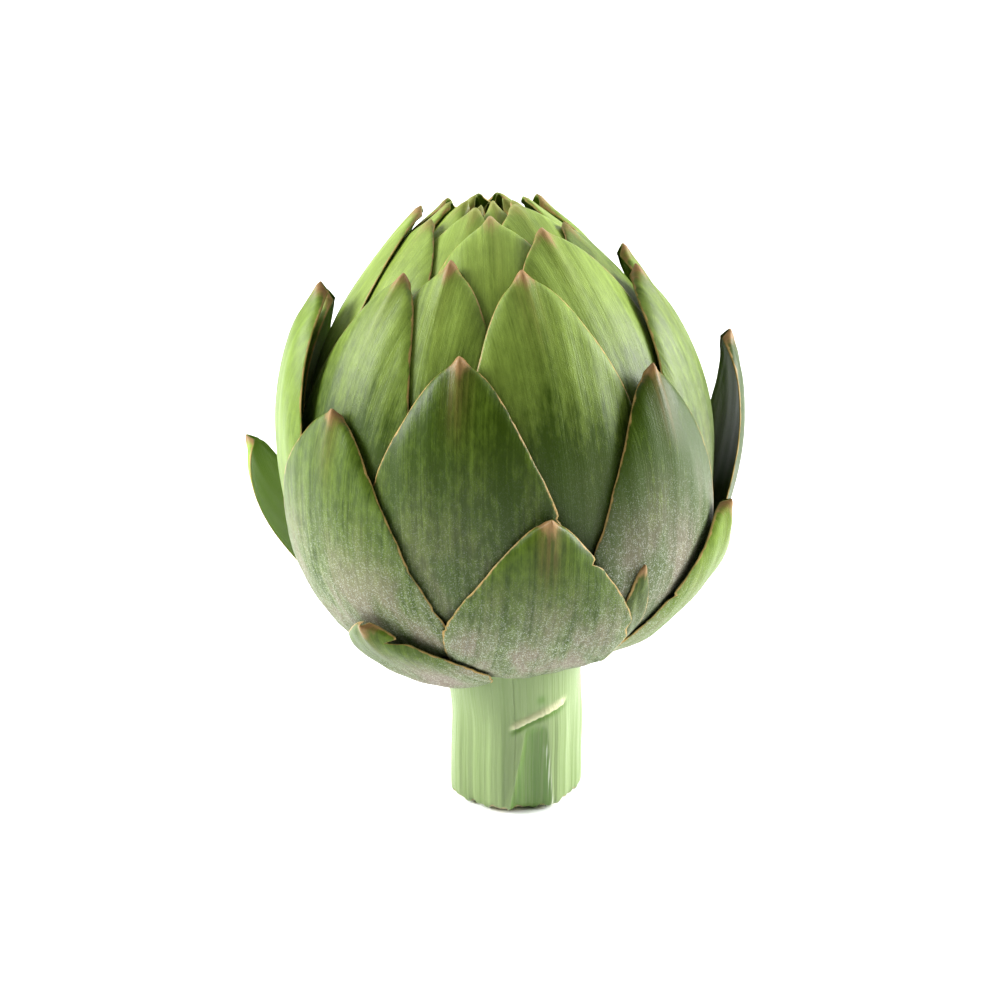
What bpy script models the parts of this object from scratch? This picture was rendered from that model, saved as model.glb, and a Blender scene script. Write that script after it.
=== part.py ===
"""Globe artichoke: a cut stem that widens into the heart, the choke on the heart, a closed bud of young
bracts over the choke, and 54 grown bracts over all of it.

Metres, +Z up. The origin is the centre of the cut stem base, and the head's front faces -Y.
An azimuth is taken about the vertical from -Y towards +X. A polar angle is taken at the head's centre
from straight down. Both are in degrees. Bracts are numbered from the outermost to the innermost.
"""

import bpy
import numpy as np

# ---------------------------------------------------------------- driving dimensions
STEM_RADIUS = 0.0146
STEM_RIBS = 7
STEM_RIB_HEIGHT = 0.0005
NECK_HEIGHT = 0.026
HEAD_CENTRE = 0.060                  # height of the head's centre
HEART_RADIUS = 0.0285                # the heart is a ball about the head's centre, dished on top
HEART_RIM_POLAR = 86.0
HEART_DISH_HEIGHT = 0.053
CHOKE_RADIUS = 0.0245
CHOKE_TOP = 0.078

# the closed bud of young bracts that covers the choke: polar angle and radius about the head's centre
BUD_POLAR = (90.0, 100.0, 110.0, 120.0, 130.0, 140.0, 150.0, 160.0, 170.0, 176.0)
BUD_RADIUS = (0.0285, 0.0286, 0.0310, 0.0345, 0.0380, 0.0415, 0.0450, 0.0490, 0.0545, 0.0600)
BUD_FOOT_HEIGHT = 0.0586
BUD_CLEAR = 0.0006                   # room between it and the choke

# closed head: polar angle and radius about the head's centre, from the neck to the crown
HEAD_POLAR = (20.0, 33.0, 50.0, 65.0, 80.0, 95.0, 110.0, 125.0, 140.0, 155.0, 168.0, 180.0)
HEAD_RADIUS = (0.0395, 0.0394, 0.0398, 0.0416, 0.0447, 0.0487, 0.0525, 0.0577, 0.0635, 0.0695, 0.0754, 0.0784)
HEAD_TILT = 2.9                      # the head nods towards -X by this much above the neck
SLACK = 0.006                        # the underside sits this much higher on the +X side

BRACTS = 54
GOLDEN_ANGLE = 137.508
FIRST_AZIMUTH = 28.5
FIRST_ROOT_POLAR = 33.0              # the roots climb the heart from the neck to the rim
LAST_ROOT_POLAR = 79.0
CROWN_ANGLE = 1.5                    # how near to the top the last tips come
TIP_SPAN = 64.6                      # angle from the crown to the tip of bract 9, the first full-length one
TIP_FADE = 10.8                      # bracts over which that angle shrinks by e
FULL_LENGTH_FROM = 8
LOW_TIP_STEP = 6.0                   # each bract below the full-length ones ends this much lower
LEAST_LENGTH = 36.0
WIDEST = 0.46                        # share of the length at which a bract is widest
BLUNTNESS = 0.10                     # share of the width that the rounded end makes up
CROWN_BLUNTNESS = 0.22               # and what the crown's bracts have on top of that
CROWN_CLOSING = 1.6                  # how much further the crown's tips lean in over the middle
CROWN_HOOK = 0.0010                  # how far those tips hook down
SINK_FROM = 43                       # from this bract on, the tips sink into the crown, each a little deeper
CROWN_SINK = 0.0007
LAYER_DEPTH = 0.00045                # how much deeper each next bract wants to lie
LAYER_GAP = 0.00035
ROOT_THICKNESS = 0.0022
TIP_THICKNESS = 0.0011
HEEL = 0.005                         # distance over which a bract leaves the heart

# Growth is never quite regular: what each bract named here does apart from the rule, by its place in the
# spiral. shift turns the whole bract and lean only its tip, both about the vertical; rise lifts the tip;
# width is a factor; widest is where along it it is widest; flare is how far the tip stands off the head.
IRREGULAR = {
    1: dict(shift=-21),
    3: dict(shift=-14, rise=3, width=0.95, flare=0.0025),
    5: dict(shift=8, rise=9, width=0.88, flare=0.0012),
    6: dict(shift=-36, rise=-10),
    8: dict(shift=-4, lean=7, width=0.98, widest=0.52),
    9: dict(shift=20, rise=-11, width=0.85, flare=0.012),
    10: dict(shift=6, lean=1, rise=5, width=0.9, flare=0.0065),
    11: dict(shift=-11, lean=7, rise=3, width=1.2),
    13: dict(shift=8, rise=0.3, width=1.05),
    14: dict(shift=10, lean=6, rise=8, flare=0.004),
    16: dict(shift=-1, lean=2, rise=-3, width=1.15),
    18: dict(shift=4, rise=1),
    19: dict(shift=8, lean=14, rise=3, width=1.05),
    21: dict(shift=-2, lean=-5, width=1.15),
    22: dict(shift=19, rise=-13, width=1.12, flare=0.003),
    23: dict(rise=-7, flare=0.001),
    24: dict(shift=4, lean=7, rise=-2, width=1.1),
    26: dict(shift=-10, lean=-7, width=1.25),
    27: dict(shift=-8, lean=-18, rise=0.8, width=1.1),
    29: dict(rise=2, width=1.15),
    31: dict(shift=-10, lean=-4, rise=-3.5, width=1.1),
    32: dict(shift=-12, lean=-8, rise=-1.5, width=1.1),
    34: dict(shift=5, lean=5, rise=1.5, width=1.1),
    36: dict(shift=-10, width=1.2),
    37: dict(shift=-4),
}
# Bract 0 is torn: only a sliver of it is left, wedged between its neighbours 5, 8 and 13.
SLIVER = dict(azimuth=36.5, root=62.0, tip=99.0, width=5.5, thickness=0.0008)
SLIVER_LIES_UNDER = 8

# each bract's corners, and the finer grid on which it is laid over the ones below
SOLID_ROWS, SOLID_COLUMNS = 8, 6
ROWS, COLUMNS = 43, 31
LIFTS = 6
POLAR_STEPS, AZIMUTH_STEPS = 360, 720
RELAXATIONS = 150

BRACT_GREEN = (0.20, 0.32, 0.09, 1.0)
CROWN_GREEN = (0.36, 0.50, 0.18, 1.0)
YOUNG_GREEN = (0.60, 0.66, 0.30, 1.0)
STEM_GREEN = (0.40, 0.56, 0.22, 1.0)
CHOKE_CREAM = (0.78, 0.72, 0.52, 1.0)


# ---------------------------------------------------------------- shape rules
def ease(x):
    """0 to 1 with level ends"""
    x = np.clip(x, 0, 1)
    return x * x * (3 - 2 * x)


def through(x, xs, ys):
    """smooth curve through a few points: cubic pieces with the slope of the neighbours"""
    xs, ys = np.asarray(xs), np.asarray(ys)
    slope = np.gradient(ys, xs)
    i = np.clip(np.searchsorted(xs, x) - 1, 0, len(xs) - 2)
    step = xs[i + 1] - xs[i]
    t = np.clip((x - xs[i]) / step, 0, 1)
    bend = (t * (1 - t) ** 2 * slope[i] - t * t * (1 - t) * slope[i + 1]) * step
    return ys[i] + (ys[i + 1] - ys[i]) * ease(t) + bend


def head_radius(polar):
    return through(polar, HEAD_POLAR, HEAD_RADIUS)


def direction(azimuth, polar):
    a, p = np.radians(azimuth), np.radians(polar)
    return np.stack([np.sin(a) * np.sin(p), -np.cos(a) * np.sin(p), -np.cos(p) + 0 * a], -1)


def polar_of(d):
    return np.degrees(np.arccos(np.clip(-d[..., 2], -1, 1)))


def azimuth_of(d):
    return np.degrees(np.arctan2(d[..., 0], -d[..., 1]))


def tip_angle(index):
    """angle between the crown and the tip of a bract"""
    if index < FULL_LENGTH_FROM:
        return CROWN_ANGLE + TIP_SPAN + LOW_TIP_STEP * (FULL_LENGTH_FROM - index)
    return CROWN_ANGLE + TIP_SPAN * np.exp((FULL_LENGTH_FROM - index) / TIP_FADE)


def outermost_at(polar):
    """index of the outermost bract that reaches this far up: the inverse of tip_angle"""
    angle = np.clip(180 - polar - CROWN_ANGLE, 0.05, None)
    return np.clip(FULL_LENGTH_FROM - TIP_FADE * np.log(angle / TIP_SPAN), 0, BRACTS - 1)


def half_width(index):
    """greatest half width: the middle bracts are the broadest, and the innermost are narrow"""
    return 27.5 + 1.5 * np.exp(-((index - 14) / 8.0) ** 2) - 6.0 * ease((index - 24) / 26.0)


class Bract:
    """one bract: where it is rooted, where it points, how wide, thick and flared it is"""

    def __init__(self, index):
        own = IRREGULAR.get(index, {})
        share = index / (BRACTS - 1)
        self.index = index
        self.torn = index == 0
        azimuth = FIRST_AZIMUTH - GOLDEN_ANGLE * index + own.get("shift", 0)
        root = FIRST_ROOT_POLAR + (LAST_ROOT_POLAR - FIRST_ROOT_POLAR) * share
        closing = CROWN_CLOSING * ease((index - 30) / 14)
        tip = max(180 - tip_angle(index) + closing + own.get("rise", 0), root + LEAST_LENGTH)
        self.width = np.radians(half_width(index) * own.get("width", 1))
        self.widest = own.get("widest", WIDEST)
        self.flare = own.get("flare", 0)
        self.root_thickness = ROOT_THICKNESS - 0.0006 * share
        self.tip_thickness = TIP_THICKNESS
        self.bluntness = BLUNTNESS + CROWN_BLUNTNESS * ease((index - 20) / 16)
        self.sunk = CROWN_SINK * np.clip(index - SINK_FROM, 0, None)
        self.hooked = CROWN_HOOK * ease((index - 24) / 10)
        if self.torn:
            azimuth, root, tip = SLIVER["azimuth"], SLIVER["root"], SLIVER["tip"]
            self.width = np.radians(SLIVER["width"])
            self.root_thickness = self.tip_thickness = SLIVER["thickness"]
        self.root = direction(azimuth, root)
        point = direction(azimuth + own.get("lean", 0), tip)
        self.side = np.cross(point, self.root)
        self.side /= np.linalg.norm(self.side)
        self.up = point - (point @ self.root) * self.root
        self.up /= np.linalg.norm(self.up)
        self.length = np.arccos(point @ self.root)

    def width_at(self, v):
        """half width: widens from the root as a quarter sine, then narrows to a blunt point"""
        low = 0.5 + 0.5 * np.sin(np.pi / 2 * np.clip(v / self.widest, 0, 1))
        from_tip = np.clip((1 - v) / (1 - self.widest), 0, 1)
        round_end = self.bluntness * (1 - np.exp(-from_tip / (0.26 * self.bluntness)))
        high = round_end + (1 - self.bluntness) * (1 - (1 - from_tip) ** 1.55)
        return self.width * np.maximum(np.where(v < self.widest, low, high), 0.035)

    def directions(self, u, v):
        """u runs across from -1 to 1, and v along from the root at 0 to the tip at 1"""
        across = u * self.width_at(v)
        along = v * self.length + 0 * u
        spine = np.cos(along)[..., None] * self.root + np.sin(along)[..., None] * self.up
        return np.cos(across)[..., None] * spine + np.sin(across)[..., None] * self.side

    def covers(self, d):
        """which directions lie on the bract or just beside it"""
        v = np.arctan2(d @ self.up, d @ self.root) / self.length
        across = np.arcsin(np.clip(d @ self.side, -1, 1))
        return (v > -0.01) & (v < 1.01) & (np.abs(across) < self.width_at(np.clip(v, 0, 1)) + 0.01)

    def thickness(self, u, v):
        """thick and fleshy at the root, thin towards the tip and the margins"""
        along = self.tip_thickness + (self.root_thickness - self.tip_thickness) * (1 - v) ** 1.6
        return along * (1 - 0.62 * np.abs(u) ** 4) * (1 - 0.35 * ease((v - 0.9) / 0.1))

    def wished_radius(self, u, v, d):
        """where the inner face would lie with nothing under it"""
        polar = polar_of(d)
        deep = LAYER_DEPTH * np.clip(self.index - outermost_at(polar), 0, None)
        slack = SLACK * ease((88 - polar) / 42) * (0.5 + 0.5 * np.sin(np.radians(azimuth_of(d))))
        free = np.maximum(head_radius(polar) - deep - slack, HEART_RADIUS + LAYER_GAP)
        leaving = 1 - np.exp(-v * self.length * HEART_RADIUS / HEEL)
        free = HEART_RADIUS + LAYER_GAP + (free - HEART_RADIUS - LAYER_GAP) * leaving
        cupped = 0.0016 * u ** 2 * ease(v / 0.4)
        sunk = self.sunk * ease((v - 0.4) / 0.6) + self.hooked * ease((v - 0.88) / 0.12)
        return free - cupped - sunk + self.flare * ease((v - 0.45) / 0.55) ** 1.3


def sample(grid, y, x):
    """grid read between its points, y down the rows and x along the columns, both in steps"""
    y0 = np.clip(np.floor(y).astype(int), 0, grid.shape[0] - 2)
    x0 = np.clip(np.floor(x).astype(int), 0, grid.shape[1] - 2)
    fy, fx = np.clip(y - y0, 0, 1), np.clip(x - x0, 0, 1)
    near = grid[y0, x0] * (1 - fx) + grid[y0, x0 + 1] * fx
    far = grid[y0 + 1, x0] * (1 - fx) + grid[y0 + 1, x0 + 1] * fx
    return near * (1 - fy) + far * fy


def corner_grid():
    """u and v of a bract's corners"""
    across, along = np.linspace(-1, 1, SOLID_COLUMNS), np.linspace(0, 1, SOLID_ROWS)
    return np.meshgrid(across, along)


def neighbour_mean(grid):
    p = np.pad(grid, 1, mode="edge")
    return (p[:-2, 1:-1] + p[2:, 1:-1] + p[1:-1, :-2] + p[1:-1, 2:] + 4 * grid) / 8


def sheet_triangles():
    """corners of the two triangles in each cell of a bract's grid, listed row by row"""
    corners = np.arange(SOLID_ROWS * SOLID_COLUMNS).reshape(SOLID_ROWS, SOLID_COLUMNS)
    a, b = corners[:-1, :-1].ravel(), corners[:-1, 1:].ravel()
    c, d = corners[1:, 1:].ravel(), corners[1:, :-1].ravel()
    return np.concatenate([np.stack([a, b, c], -1), np.stack([a, c, d], -1)])


TRIANGLES = sheet_triangles()


def seen_through(corners, d):
    """Follow directions d out to a sheet of flat triangles. With the corners as a matrix's columns, the
    inverse turns a direction into its shares of them, and the distance is 1 over the shares' sum.
    Returns which directions meet the sheet, and for those the triangle, the distance and the shares."""
    inverse = np.linalg.inv(corners.reshape(-1, 3)[TRIANGLES].transpose(0, 2, 1))
    shares = (inverse.reshape(-1, 3) @ d.T).reshape(-1, 3, len(d))
    meets = shares.min(1) > 0
    hit = meets.any(0)
    triangle = meets.argmax(0)[hit]
    shares = shares[triangle, :, np.flatnonzero(hit)]
    distance = 1 / shares.sum(-1)
    return hit, triangle, distance, shares * distance[:, None]


def spread(surface):
    """each direction takes the greatest radius among itself and its four neighbours"""
    p = np.pad(surface, 1, mode="edge")
    return np.maximum.reduce([surface, p[:-2, 1:-1], p[2:, 1:-1], p[1:-1, :-2], p[1:-1, 2:]])


def raised_clear(radius, d, around, surface):
    """a bract's corner radii, raised until its flat triangles clear what lies below: each corner goes up
    by its share of every shortfall, and in the last round by the whole of it"""
    radius = radius.copy()
    for lift in range(LIFTS):
        hit, triangle, distance, shares = seen_through(radius[..., None] * d, around)
        short = np.maximum(surface[hit] + LAYER_GAP - distance, 0)[:, None]
        last = lift == LIFTS - 1
        rise = np.zeros(radius.size)
        np.maximum.at(rise, TRIANGLES[triangle], short * (1 if last else shares))
        radius += rise.reshape(radius.shape)
    return radius


def pile_of_bracts():
    """Lay the bracts on the heart from the innermost to the outermost. Each one rests on what lies under
    it, bends smoothly over it, and elsewhere keeps to the radius that it wants. Returns the inner and
    outer radii of each bract's corners."""
    azimuths = np.arange(AZIMUTH_STEPS + 1) * 360 / AZIMUTH_STEPS
    polars = (np.arange(POLAR_STEPS) + 0.5) * 180 / POLAR_STEPS
    around = direction(azimuths[None, :], polars[:, None])
    surface = np.interp(polars, BUD_POLAR, BUD_RADIUS)[:, None] + 0 * azimuths
    u = np.linspace(-1, 1, COLUMNS)[None, :]
    v = np.linspace(0, 1, ROWS)[:, None]
    corner_u, corner_v = corner_grid()
    order = list(range(BRACTS - 1, SLIVER_LIES_UNDER, -1)) + [0] + list(range(SLIVER_LIES_UNDER, 0, -1))
    laid = {}
    for index in order:
        bract = Bract(index)
        d = bract.directions(u, v)
        at = polar_of(d) * POLAR_STEPS / 180 - 0.5, (azimuth_of(d) % 360) * AZIMUTH_STEPS / 360
        floor = sample(surface, *at) + LAYER_GAP
        wish = floor if bract.torn else bract.wished_radius(u, v, d)
        radius = np.maximum(wish, floor)
        for _ in range(RELAXATIONS):
            radius = np.maximum(floor, wish + neighbour_mean(radius - wish))
            if not bract.torn:
                radius[0] = np.maximum(HEART_RADIUS + LAYER_GAP, floor[0])
        inner = sample(radius, corner_v * (ROWS - 1), (corner_u + 1) / 2 * (COLUMNS - 1))
        corner_d = bract.directions(corner_u, corner_v)
        on = bract.covers(around)
        inner = raised_clear(inner, corner_d, around[on], spread(surface)[on])
        outer = inner + bract.thickness(corner_u, corner_v)
        laid[index] = inner, outer
        hit, _, distance, _ = seen_through(outer[..., None] * corner_d, around[on])
        raised = surface[on]
        raised[hit] = np.maximum(raised[hit], distance)
        surface[on] = raised
        surface[:, -1] = surface[:, 0] = np.maximum(surface[:, 0], surface[:, -1])
    return laid


def nod(points):
    """tilt everything above the neck towards -X"""
    points = points.copy()
    tilt = np.radians(HEAD_TILT) * ease((points[..., 2] - 0.010) / 0.016)
    x, z = points[..., 0].copy(), points[..., 2] - NECK_HEIGHT
    points[..., 0] = x * np.cos(tilt) - z * np.sin(tilt)
    points[..., 2] = NECK_HEIGHT + z * np.cos(tilt) + x * np.sin(tilt)
    return points


def on_head(d, radius):
    return nod(radius[..., None] * d + np.array([0, 0, HEAD_CENTRE]))


# ---------------------------------------------------------------- objects
def material(name, colour, roughness):
    mat = bpy.data.materials.new(name)
    mat.use_nodes = True
    shader = mat.node_tree.nodes["Principled BSDF"]
    shader.inputs["Base Color"].default_value = colour
    shader.inputs["Roughness"].default_value = roughness
    shader.inputs["Metallic"].default_value = 0.0
    return mat


def add_object(name, points, faces, mat):
    mesh = bpy.data.meshes.new(name)
    mesh.from_pydata(points.reshape(-1, 3).tolist(), [], faces)
    mesh.materials.append(mat)
    mesh.shade_smooth()
    mesh.set_sharp_from_angle(angle=np.radians(40))
    made = bpy.data.objects.new(name, mesh)
    bpy.context.scene.collection.objects.link(made)
    return made


def shell_faces():
    """faces of a closed shell: the outer sheet, the inner sheet turned round, and the rim between them"""
    corners = np.arange(SOLID_ROWS * SOLID_COLUMNS).reshape(SOLID_ROWS, SOLID_COLUMNS)
    ring = np.concatenate([corners[0, :-1], corners[:-1, -1], corners[-1, :0:-1], corners[:0:-1, 0]])
    after = np.roll(ring, -1)
    inner_ring, inner_after = ring + corners.size, after + corners.size
    rim = np.concatenate([np.stack([ring, inner_ring, inner_after], -1),
                          np.stack([ring, inner_after, after], -1)])
    return np.concatenate([TRIANGLES, TRIANGLES[:, ::-1] + corners.size, rim]).tolist()


def add_bract(bract, inner, outer, mat):
    """a closed shell between the bract's inner and outer faces, its outer side first"""
    d = bract.directions(*corner_grid())
    points = np.concatenate([on_head(d, outer), on_head(d, inner)])
    return add_object(f"bract_{bract.index + 1:02d}", points, shell_faces(), mat)


def turned_faces(rings, sides):
    """faces of a turned solid whose rings run from the bottom outwards and up to the top"""
    faces = [list(range(sides))[::-1]]
    for ring in range(rings - 1):
        for side in range(sides):
            a = ring * sides + side
            b = ring * sides + (side + 1) % sides
            faces.append([a, b, b + sides, a + sides])
    faces.append([(rings - 1) * sides + side for side in range(sides)])
    return faces


def turned(profile, sides, ribs=0, rib_height=0.0):
    """points of a turned solid from (radius, height) pairs, with low ribs that fade out above the neck"""
    angle = np.arange(sides) * 2 * np.pi / sides
    radius, height = np.array(profile).T
    fade = 1 - ease((height - 0.015) / 0.015)
    wide = radius[:, None] + rib_height * fade[:, None] * np.cos(ribs * angle)[None, :]
    tall = height[:, None] + 0 * wide
    return nod(np.stack([wide * np.cos(angle), wide * np.sin(angle), tall], -1))


def add_stem_and_heart(mat):
    """the stem is cut flat at the origin, and its top swells into the heart, whose top is dished"""
    stem = [(STEM_RADIUS - 0.0006, 0.0), (STEM_RADIUS, 0.002), (STEM_RADIUS, NECK_HEIGHT - 0.004)]
    polars = np.linspace(FIRST_ROOT_POLAR - 1, HEART_RIM_POLAR, 7)
    radius, drop = HEART_RADIUS * np.sin(np.radians(polars)), HEART_RADIUS * np.cos(np.radians(polars))
    heart = list(zip(radius.tolist(), (HEAD_CENTRE - drop).tolist()))
    dish = [(0.0225, HEART_DISH_HEIGHT + 0.0025), (0.0120, HEART_DISH_HEIGHT)]
    profile = stem + heart + dish
    sides = 4 * STEM_RIBS
    points = turned(profile, sides, STEM_RIBS, STEM_RIB_HEIGHT)
    return add_object("stem_and_heart", points, turned_faces(len(profile), sides), mat)


CHOKE_SIDE = [(CHOKE_RADIUS, HEAD_CENTRE + 0.002), (CHOKE_RADIUS - 0.0035, HEAD_CENTRE + 0.009),
              (CHOKE_RADIUS - 0.0105, CHOKE_TOP - 0.002), (0.0050, CHOKE_TOP)]
CHOKE_FACETS = 20


def add_choke(mat):
    """the mass of unopened florets, a low cushion that fills the dish"""
    profile = [(0.0115, HEART_DISH_HEIGHT + 0.0006), (0.0215, HEART_DISH_HEIGHT + 0.0034)] + CHOKE_SIDE
    return add_object("choke", turned(profile, CHOKE_FACETS), turned_faces(len(profile), CHOKE_FACETS), mat)


def add_inner_bracts(mat):
    """the closed bud of young bracts: a cap over the choke whose foot stands on the heart's rim, hollow
    where the choke is; its profile runs from the middle of the hollow down, and up the outside"""
    polars, radii = np.radians(BUD_POLAR), np.array(BUD_RADIUS)
    outside = np.stack([radii * np.sin(polars), HEAD_CENTRE - radii * np.cos(polars)], -1).tolist()
    hollow = [(radius + BUD_CLEAR, height + BUD_CLEAR) for radius, height in CHOKE_SIDE[::-1]]
    foot = [(CHOKE_RADIUS + BUD_CLEAR, BUD_FOOT_HEIGHT), (HEART_RADIUS - BUD_CLEAR, BUD_FOOT_HEIGHT)]
    profile = hollow + foot + outside
    faces = turned_faces(len(profile), CHOKE_FACETS)
    return add_object("inner_bracts", turned(profile, CHOKE_FACETS), faces, mat)


for old in list(bpy.data.objects):
    bpy.data.objects.remove(old)

add_stem_and_heart(material("stem_green", STEM_GREEN, 0.5))
add_choke(material("choke_cream", CHOKE_CREAM, 0.9))
add_inner_bracts(material("young_green", YOUNG_GREEN, 0.5))
for bract_index, (inner_radii, outer_radii) in sorted(pile_of_bracts().items()):
    blend = ease(bract_index / 30)
    tone = [low + (high - low) * blend for low, high in zip(BRACT_GREEN, CROWN_GREEN)]
    bract_material = material(f"bract_green_{bract_index + 1:02d}", tone, 0.45)
    add_bract(Bract(bract_index), inner_radii, outer_radii, bract_material)
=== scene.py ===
import bpy
import numpy as np
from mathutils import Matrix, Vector


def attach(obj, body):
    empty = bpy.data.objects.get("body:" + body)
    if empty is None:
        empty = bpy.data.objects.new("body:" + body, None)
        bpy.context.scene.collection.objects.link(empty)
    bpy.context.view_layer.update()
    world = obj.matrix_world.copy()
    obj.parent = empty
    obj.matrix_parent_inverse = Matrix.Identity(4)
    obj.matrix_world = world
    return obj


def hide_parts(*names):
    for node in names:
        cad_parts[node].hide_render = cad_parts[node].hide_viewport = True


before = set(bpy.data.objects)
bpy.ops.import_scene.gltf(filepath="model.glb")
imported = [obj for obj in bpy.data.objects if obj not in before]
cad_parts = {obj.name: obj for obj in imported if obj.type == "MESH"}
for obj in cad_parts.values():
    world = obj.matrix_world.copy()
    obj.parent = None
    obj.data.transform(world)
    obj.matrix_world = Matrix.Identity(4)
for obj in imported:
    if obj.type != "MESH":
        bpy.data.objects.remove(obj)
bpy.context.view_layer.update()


# ---------------------------------------------------------------- table, light and camera
# The artichoke stands on its cut stem on a plain pale table. Broad lamps on both sides and overhead light
# it softly, as in a light tent, and the camera looks down on it by twenty degrees.
TABLE_WIDTH = 8.0
TABLE_WHITE = (0.93, 0.95, 0.955, 1.0)
LOOKED_AT = Vector((-0.0033, 0.0, 0.0692))
CAMERA_DISTANCE = 0.600
CAMERA_HEIGHT_ANGLE = np.radians(20.0)
VIEW_WIDTH = 0.2195                  # how wide the view is at the point looked at
FILM_WIDTH = 36.0
CLIP_START, CLIP_END = 0.02, 20.0
TENT_BRIGHT, TENT_DARK = 0.80, 0.02  # the tent's cloth, and its open front
# where the cloth begins and where it is at its brightest, along Y in a sphere of radius 1
TENT_FRONT, TENT_BACK = -0.55, 0.45
SKYLIGHT = 2.6
SKYLIGHT_PLACE = (0.0, 1.2, 2.0)
SKYLIGHT_SPREAD = np.radians(100)
# place, width and power of each lamp
LAMPS = {
    "left": ((-0.70, 0.04, 0.38), 0.4, 13.0),
    "right": ((0.70, 0.14, 0.30), 0.4, 15.0),
}


class Finish:
    """a material made of nodes, with one short call for each kind of node"""

    def __init__(self, name):
        self.material = bpy.data.materials.new(name)
        self.material.use_nodes = True
        self.tree = self.material.node_tree
        self.shader = self.tree.nodes["Principled BSDF"]

    def give(self, socket, value):
        """a socket takes another node's result, or a plain value"""
        if isinstance(value, bpy.types.NodeSocket):
            self.tree.links.new(value, socket)
        else:
            socket.default_value = value

    def surface(self, **values):
        for name, value in values.items():
            self.give(self.shader.inputs[name.replace("_", " ")], value)

    def node(self, kind, **inputs):
        made = self.tree.nodes.new("ShaderNode" + kind)
        for name, value in inputs.items():
            self.give(made.inputs[name], value)
        return made

    def own(self, name):
        """a number stored at each point of the piece's mesh"""
        made = self.node("Attribute")
        made.attribute_name = name
        return made.outputs["Fac"]

    def laid_out(self, across, along, skin="skin"):
        """the piece's own flat map, in millimetres, times a scale across and along"""
        flat = self.node("UVMap")
        flat.uv_map = skin
        return self.node("Mapping", Vector=flat.outputs[0], Scale=(across, along, 1.0)).outputs[0]

    def in_space(self, scale):
        place = self.node("TexCoord").outputs["Object"]
        return self.node("Mapping", Vector=place, Scale=scale).outputs[0]

    def noise(self, vector, detail=3.0, roughness=0.5):
        made = self.node("TexNoise", Vector=vector, Scale=1.0, Detail=detail, Roughness=roughness)
        return made.outputs["Fac"]

    def spots(self, vector):
        """distance to the nearest of many scattered points"""
        return self.node("TexVoronoi", Vector=vector, Scale=1.0).outputs["Distance"]

    def between(self, value, low, high):
        """0 below low, 1 above high, and eased between them"""
        made = self.tree.nodes.new("ShaderNodeMapRange")
        made.interpolation_type = "SMOOTHSTEP"
        self.give(made.inputs["Value"], value)
        self.give(made.inputs["From Min"], low)
        self.give(made.inputs["From Max"], high)
        return made.outputs["Result"]

    def sum(self, *parts):
        """parts are (value, factor) pairs"""
        total = 0.0
        for value, factor in parts:
            made = self.tree.nodes.new("ShaderNodeMath")
            made.operation = "MULTIPLY_ADD"
            for socket, given in zip(made.inputs, (value, factor, total)):
                self.give(socket, given)
            total = made.outputs[0]
        return total

    def times(self, first, second):
        made = self.tree.nodes.new("ShaderNodeMath")
        made.operation = "MULTIPLY"
        self.give(made.inputs[0], first)
        self.give(made.inputs[1], second)
        return made.outputs[0]

    def without(self, value):
        """1 less the value"""
        return self.sum((value, -1.0), (1.0, 1.0))

    def blend(self, share, first, second):
        """from the first colour to the second"""
        made = self.tree.nodes.new("ShaderNodeMix")
        made.data_type = "RGBA"
        self.give(made.inputs[0], share)
        self.give(made.inputs[6], first)
        self.give(made.inputs[7], second)
        return made.outputs[2]

    def relief(self, height, depth, under=None):
        """fine relief of that depth in metres"""
        made = self.node("Bump", Height=height, Distance=depth, Strength=1.0)
        if under is not None:
            self.give(made.inputs["Normal"], under)
        return made.outputs[0]


def mesh_object(name, points, faces, finish):
    mesh = bpy.data.meshes.new(name)
    mesh.from_pydata(points.reshape(-1, 3).tolist(), [], faces.tolist())
    mesh.materials.append(finish.material)
    mesh.shade_smooth()
    made = bpy.data.objects.new(name, mesh)
    bpy.context.scene.collection.objects.link(made)
    return made


table_finish = Finish("table_white")
table_finish.surface(Base_Color=TABLE_WHITE, Roughness=0.9)
half_table = TABLE_WIDTH / 2
table_corners = np.array([(-1, -1, 0), (1, -1, 0), (1, 1, 0), (-1, 1, 0)]) * half_table
table = mesh_object("table", table_corners, np.array([[0, 1, 2, 3]]), table_finish)

tent = bpy.data.worlds.new("tent")
bpy.context.scene.world = tent
tent.use_nodes = True
cloth = tent.node_tree.nodes["Background"]
cloth.inputs["Color"].default_value = (1.0, 1.0, 1.0, 1.0)
looking = tent.node_tree.nodes.new("ShaderNodeTexCoord")
parts = tent.node_tree.nodes.new("ShaderNodeSeparateXYZ")
opening = tent.node_tree.nodes.new("ShaderNodeMapRange")
opening.interpolation_type = "SMOOTHSTEP"
opening.inputs["From Min"].default_value = TENT_FRONT
opening.inputs["From Max"].default_value = TENT_BACK
opening.inputs["To Min"].default_value = TENT_DARK
opening.inputs["To Max"].default_value = TENT_BRIGHT
tent.node_tree.links.new(looking.outputs["Generated"], parts.inputs[0])
tent.node_tree.links.new(parts.outputs["Y"], opening.inputs["Value"])
tent.node_tree.links.new(opening.outputs["Result"], cloth.inputs["Strength"])
bpy.context.scene.view_settings.view_transform = "Standard"


def aimed(made, place, target):
    """stands at a place and looks at a target"""
    made.location = place
    made.rotation_euler = (Vector(target) - Vector(place)).to_track_quat("-Z", "Y").to_euler()
    bpy.context.scene.collection.objects.link(made)
    return made


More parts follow.
